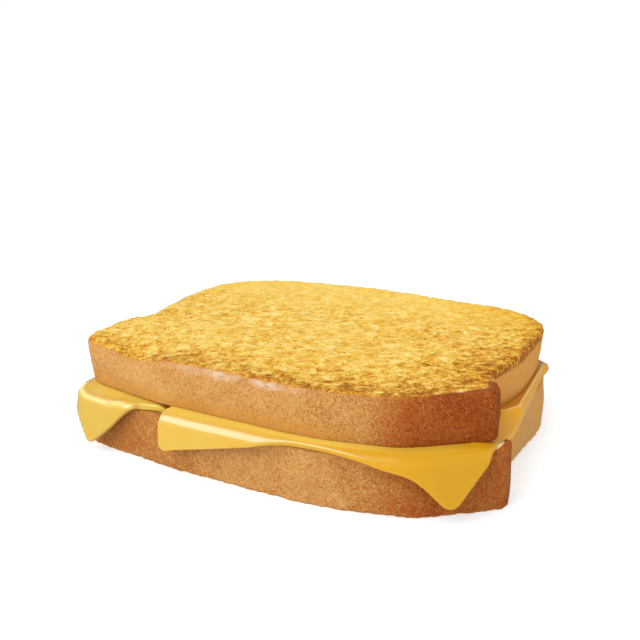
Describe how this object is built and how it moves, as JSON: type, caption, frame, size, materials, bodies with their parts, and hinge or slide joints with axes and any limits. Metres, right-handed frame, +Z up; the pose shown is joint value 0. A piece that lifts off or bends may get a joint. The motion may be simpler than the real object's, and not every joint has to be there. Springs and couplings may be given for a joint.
{
  "type": "grilled cheese sandwich",
  "caption": "Grilled cheese sandwich of toasted wide-crown loaf slices with draped squares of melted cheese hanging over the front crust.",
  "frame": {"origin": "on the resting surface, under the middle of the sandwich's bounding box", "axes": "+Z up through the layers, +X along the loaf slice's width, -Y towards the loaf's crown and the hanging cheese corners"},
  "size_m": [0.1362, 0.1152, 0.0322],
  "materials": {
    "bread_bottom": "toasted bread with a smooth brown crust",
    "cheese_lower": "softly glossy melted yellow cheese",
    "cheese_upper": "softly glossy melted yellow cheese",
    "bread_top": "golden butter-toasted face with a smooth brown crust"
  },
  "bodies": {
    "root": {"bread_bottom": "bread_bottom", "cheese_lower": "cheese_lower", "cheese_upper": "cheese_upper", "bread_top": "bread_top"}
  },
  "joints": []
}
